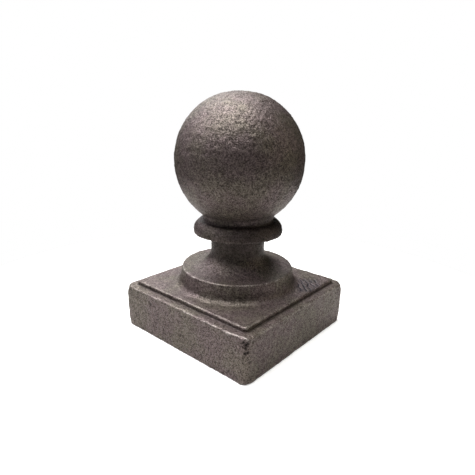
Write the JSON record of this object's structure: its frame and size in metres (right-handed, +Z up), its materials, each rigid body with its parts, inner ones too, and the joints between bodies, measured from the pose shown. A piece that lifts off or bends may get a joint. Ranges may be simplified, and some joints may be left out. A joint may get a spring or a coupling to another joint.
{
  "type": "post cap",
  "caption": "Square cast-iron post cap: a low skirt with a raised pad and a round plinth, a waisted neck, a collar and a ball; it drops over a square post.",
  "frame": {"origin": "centre of the underside, in the plane of the skirt's rim", "axes": "+Z up along the axis of the neck and ball; X and Y square to the skirt's sides"},
  "size_m": [0.06, 0.06, 0.086],
  "materials": {
    "iron": "raw sand-cast skin, fine grained, worn brighter on the edges"
  },
  "bodies": {
    "root": {"post_cap": "iron"}
  },
  "joints": []
}
